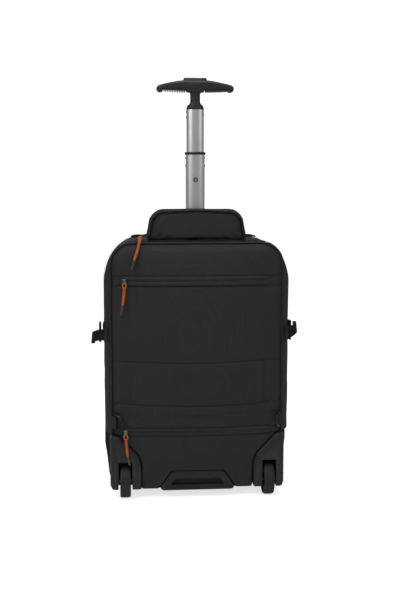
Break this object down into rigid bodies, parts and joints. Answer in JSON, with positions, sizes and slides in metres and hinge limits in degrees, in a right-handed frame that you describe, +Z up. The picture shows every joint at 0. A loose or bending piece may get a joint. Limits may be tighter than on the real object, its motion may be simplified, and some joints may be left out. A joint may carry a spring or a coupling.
{
  "type": "wheeled cabin backpack",
  "caption": "Soft wheeled cabin case for flight crew with a two-stage trolley handle, a zipped cover over stowed shoulder straps, and a front lid.",
  "frame": {"origin": "on the floor, under the middle of the case", "axes": "+X across the case, -Y the wheel and handle side, +Z up"},
  "size_m": [0.392, 0.2288, 0.79],
  "materials": {
    "coated_fabric": "fine coated polyester, soft sheen",
    "webbing": "ribbed woven nylon",
    "mesh_padding": "air mesh over foam",
    "moulded_plastic": "fine spark-eroded texture",
    "grip_plastic": "satin moulded grip",
    "tyre_rubber": "matt rubber",
    "satin_aluminium": "satin anodised, drawn lengthwise",
    "steel": "turned steel",
    "dark_metal": "gunmetal plated die casting",
    "zip_coil": "nylon coil under a coated tape",
    "orange_cord": "braided cord",
    "backing_board": "flat sheet"
  },
  "bodies": {
    "root": {"body_shell": "coated_fabric", "back_board": "backing_board", "base_beam": "moulded_plastic", "guide_socket": "moulded_plastic", "front_foot_left": "moulded_plastic", "front_foot_right": "moulded_plastic", "wheel_housing_left": "moulded_plastic", "wheel_housing_right": "moulded_plastic", "axle_left": "steel", "axle_right": "steel", "kick_plate": "moulded_plastic", "lower_back_panel": "coated_fabric", "cover_zip": "zip_coil", "lower_zip": "zip_coil", "guide_tube": "satin_aluminium", "guide_bezel": "moulded_plastic", "top_hood": "coated_fabric", "carry_handle": "webbing", "shoulder_strap_left": "mesh_padding", "shoulder_strap_right": "mesh_padding", "side_strap_left": "webbing", "side_strap_right": "webbing", "ladder_lock_left": "moulded_plastic", "ladder_lock_right": "moulded_plastic", "d_ring_tab_left": "webbing", "d_ring_tab_right": "webbing", "main_zip": "zip_coil"},
    "wheel_left": {"tyre_left": "tyre_rubber", "wheel_hub_left": "moulded_plastic"},
    "wheel_right": {"tyre_right": "tyre_rubber", "wheel_hub_right": "moulded_plastic"},
    "mid_stage": {"mid_tube": "satin_aluminium", "mid_collar": "moulded_plastic", "mid_bush": "moulded_plastic"},
    "inner_stage": {"inner_tube": "satin_aluminium", "inner_bush": "moulded_plastic", "grip": "grip_plastic"},
    "handle_button": {"push_button": "grip_plastic", "push_rod": "steel"},
    "lock_pin": {"inner_lock_pin": "steel"},
    "cover": {"rear_cover": "coated_fabric", "rear_piping": "coated_fabric", "top_zip": "zip_coil"},
    "top_zip_runner": {"top_zip_slider": "dark_metal"},
    "top_zip_pull": {"top_zip_cord": "orange_cord", "top_zip_tip": "moulded_plastic"},
    "lower_zip_runner": {"lower_zip_slider": "dark_metal"},
    "lower_zip_pull": {"lower_zip_cord": "orange_cord", "lower_zip_tip": "moulded_plastic"},
    "cover_zip_runner": {"cover_zip_slider": "dark_metal"},
    "cover_zip_pull": {"cover_zip_cord": "orange_cord", "cover_zip_tip": "moulded_plastic"},
    "ring_left": {"d_ring_left": "dark_metal"},
    "ring_right": {"d_ring_right": "dark_metal"},
    "lid": {"front_lid": "coated_fabric", "front_pocket": "coated_fabric"},
    "main_runner_left": {"main_zip_slider_left": "dark_metal"},
    "main_runner_right": {"main_zip_slider_right": "dark_metal"},
    "main_pull_left": {"main_zip_puller_left": "webbing"},
    "main_pull_right": {"main_zip_puller_right": "webbing"}
  },
  "joints": [
    {"name": "wheel_spin_left", "type": "hinge", "parent": "root", "child": "wheel_left", "pos_m": [-0.1365, -0.08, 0.033], "axis": [1, 0, 0], "continuous": true},
    {"name": "wheel_spin_right", "type": "hinge", "parent": "root", "child": "wheel_right", "pos_m": [0.1365, -0.08, 0.033], "axis": [1, 0, 0], "continuous": true},
    {"name": "mid_slide", "type": "slide", "parent": "root", "child": "mid_stage", "axis": [0, 0, 1], "range_m": [-0.15, 0.093]},
    {"name": "inner_slide", "type": "slide", "parent": "mid_stage", "child": "inner_stage", "axis": [0, 0, 1], "range_m": [-0.0775, 0.165]},
    {"name": "button_press", "type": "slide", "parent": "inner_stage", "child": "handle_button", "axis": [0, 0, -1], "range_m": [0, 0.004], "stiffness_N_per_m": 500, "springref_m": -0.002},
    {"name": "lock_pin_draw", "type": "slide", "parent": "inner_stage", "child": "lock_pin", "axis": [0, 1, 0], "range_m": [0, 0.0016]},
    {"name": "cover_hinge", "type": "hinge", "parent": "root", "child": "cover", "pos_m": [0, -0.1125, 0.1665], "axis": [1, 0, 0], "range_deg": [0, 95]},
    {"name": "lid_hinge", "type": "hinge", "parent": "root", "child": "lid", "pos_m": [0, 0.1, 0.022], "axis": [-1, 0, 0], "range_deg": [0, 90]},
    {"name": "top_zip_run", "type": "hinge", "parent": "cover", "child": "top_zip_runner", "pos_m": [0, 0.86104, 0.4155], "axis": [0, 0, 1], "range_deg": [0, 15.95]},
    {"name": "top_zip_pull_swing", "type": "hinge", "parent": "top_zip_runner", "child": "top_zip_pull", "pos_m": [-0.13522, -0.10388, 0.4155], "axis": [-0.9903, 0.1388, 0], "range_deg": [0, 140]},
    {"name": "lower_zip_run", "type": "hinge", "parent": "root", "child": "lower_zip_runner", "pos_m": [0, 0.68765, 0.131], "axis": [0, 0, 1], "range_deg": [0, 19.4]},
    {"name": "lower_zip_pull_swing", "type": "hinge", "parent": "lower_zip_runner", "child": "lower_zip_pull", "pos_m": [-0.13538, -0.10431, 0.131], "axis": [-0.9857, 0.1685, 0], "range_deg": [0, 95]},
    {"name": "cover_zip_run", "type": "slide", "parent": "cover", "child": "cover_zip_runner", "axis": [1, 0, 0], "range_m": [-0.005, 0.211]},
    {"name": "cover_zip_pull_swing", "type": "hinge", "parent": "cover_zip_runner", "child": "cover_zip_pull", "pos_m": [-0.1055, -0.0815, 0.4938], "axis": [-1, 0, 0], "range_deg": [0, 110]},
    {"name": "ring_swing_left", "type": "hinge", "parent": "root", "child": "ring_left", "pos_m": [-0.1555, -0.0975, 0.1501], "axis": [0, 0, 1], "range_deg": [-60, 17]},
    {"name": "ring_swing_right", "type": "hinge", "parent": "root", "child": "ring_right", "pos_m": [0.1555, -0.0975, 0.1501], "axis": [0, 0, 1], "range_deg": [-49, 28]},
    {"name": "main_zip_run_left", "type": "slide", "parent": "root", "child": "main_runner_left", "axis": [-1, 0, 0], "range_m": [0, 0.083]},
    {"name": "main_pull_swing_left", "type": "hinge", "parent": "main_runner_left", "child": "main_pull_left", "pos_m": [-0.012, 0.0648, 0.4972], "axis": [1, 0, 0], "range_deg": [0, 112]},
    {"name": "main_zip_run_right", "type": "slide", "parent": "root", "child": "main_runner_right", "axis": [1, 0, 0], "range_m": [0, 0.083]},
    {"name": "main_pull_swing_right", "type": "hinge", "parent": "main_runner_right", "child": "main_pull_right", "pos_m": [0.012, 0.0648, 0.4972], "axis": [1, 0, 0], "range_deg": [0, 112]}
  ],
  "couplings": [
    {"joint": "lock_pin_draw", "follows": "button_press", "ratio": 0.4}
  ]
}
